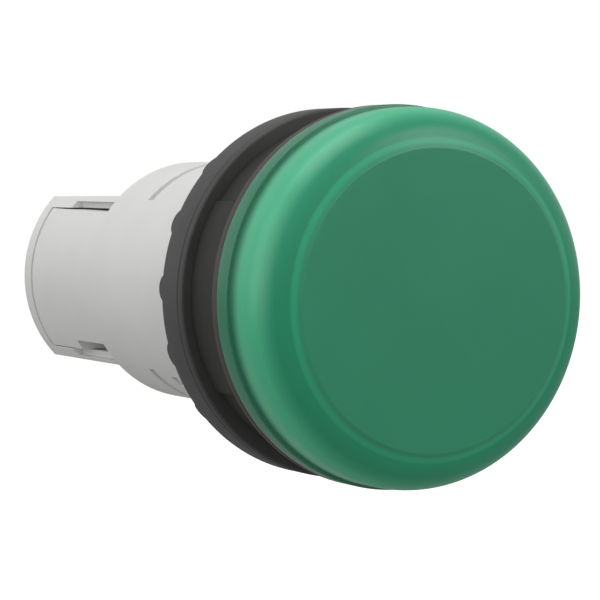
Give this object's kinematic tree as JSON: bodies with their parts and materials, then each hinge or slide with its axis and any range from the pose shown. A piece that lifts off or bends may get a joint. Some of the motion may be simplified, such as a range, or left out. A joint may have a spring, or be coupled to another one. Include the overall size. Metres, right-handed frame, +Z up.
{
  "type": "panel pilot light",
  "caption": "Compact round pilot light for a panel hole: green screw-on lens in a black collar, ring nut behind the panel, grey barrel with two screw terminals at the rear.",
  "frame": {"origin": "centre of the panel hole, in the plane of the panel's front face, which is the gasket's rear face", "axes": "+Y along the barrel towards the terminals, so the light faces -Y; +Z up; +X to the right as seen from the front"},
  "size_m": [0.0298, 0.0567, 0.0298],
  "materials": {
    "lens_green": "tinted translucent polycarbonate, satin",
    "seal_silicone": "grey-brown silicone",
    "opal_plastic": "opal acrylic",
    "black_plastic": "black polyamide, fine matt",
    "gasket_rubber": "black elastomer",
    "dark_grey_plastic": "dark grey polyamide",
    "light_grey_plastic": "light grey polycarbonate, fine matt",
    "nickel": "nickel-plated brass",
    "black_glass": "black vitrite",
    "solder": "tin solder",
    "lamp_resin": "clear-diffused LED resin",
    "contact_brass": "rolled brass strip",
    "laminate": "phenolic laminate",
    "spring_steel": "stainless spring wire",
    "plated_steel": "zinc-plated steel"
  },
  "bodies": {
    "housing": {"barrel": "light_grey_plastic", "rear_cover": "light_grey_plastic", "collar": "black_plastic", "panel_gasket": "gasket_rubber", "lens_seal": "seal_silicone", "socket_sleeve": "contact_brass", "socket_disc": "laminate", "contact_spring": "spring_steel", "terminal_left": "contact_brass", "terminal_right": "contact_brass"},
    "lens": {"lens": "lens_green", "diffuser": "opal_plastic"},
    "ring_nut": {"ring_nut": "dark_grey_plastic"},
    "contact": {"contact_plunger": "contact_brass"},
    "lamp": {"lamp_cap": "nickel", "lamp_insulator": "black_glass", "lamp_tip": "solder", "lamp_dome": "lamp_resin"},
    "saddle_left": {"saddle_left": "plated_steel"},
    "saddle_right": {"saddle_right": "plated_steel"},
    "screw_left": {"terminal_screw_left": "plated_steel"},
    "screw_right": {"terminal_screw_right": "plated_steel"}
  },
  "joints": [
    {"name": "lens_travel", "type": "slide", "parent": "housing", "child": "lens", "axis": [0, -1, 0], "range_m": [0, 0.02]},
    {"name": "ring_nut_travel", "type": "slide", "parent": "housing", "child": "ring_nut", "axis": [0, 1, 0], "range_m": [0, 0.048]},
    {"name": "contact_press", "type": "slide", "parent": "housing", "child": "contact", "axis": [0, 1, 0], "range_m": [0, 0.001], "stiffness_N_per_m": 600, "springref_m": -0.0015, "deforming": ["contact_spring"]},
    {"name": "lamp_turn", "type": "hinge", "parent": "contact", "child": "lamp", "pos_m": [0, 0, 0], "axis": [0, -1, 0], "range_deg": [0, 25]},
    {"name": "saddle_left_travel", "type": "slide", "parent": "housing", "child": "saddle_left", "axis": [0, 1, 0], "range_m": [0, 0.0025]},
    {"name": "screw_left_turn", "type": "hinge", "parent": "saddle_left", "child": "screw_left", "pos_m": [-0.0045, 0, 0], "axis": [0, 1, 0], "range_deg": [0, 1800]},
    {"name": "saddle_right_travel", "type": "slide", "parent": "housing", "child": "saddle_right", "axis": [0, 1, 0], "range_m": [0, 0.0025]},
    {"name": "screw_right_turn", "type": "hinge", "parent": "saddle_right", "child": "screw_right", "pos_m": [0.0045, 0, 0], "axis": [0, 1, 0], "range_deg": [0, 1800]}
  ],
  "couplings": [
    {"joint": "screw_left_turn", "follows": "saddle_left_travel", "rad_per_m": 12566},
    {"joint": "screw_right_turn", "follows": "saddle_right_travel", "rad_per_m": 12566}
  ]
}
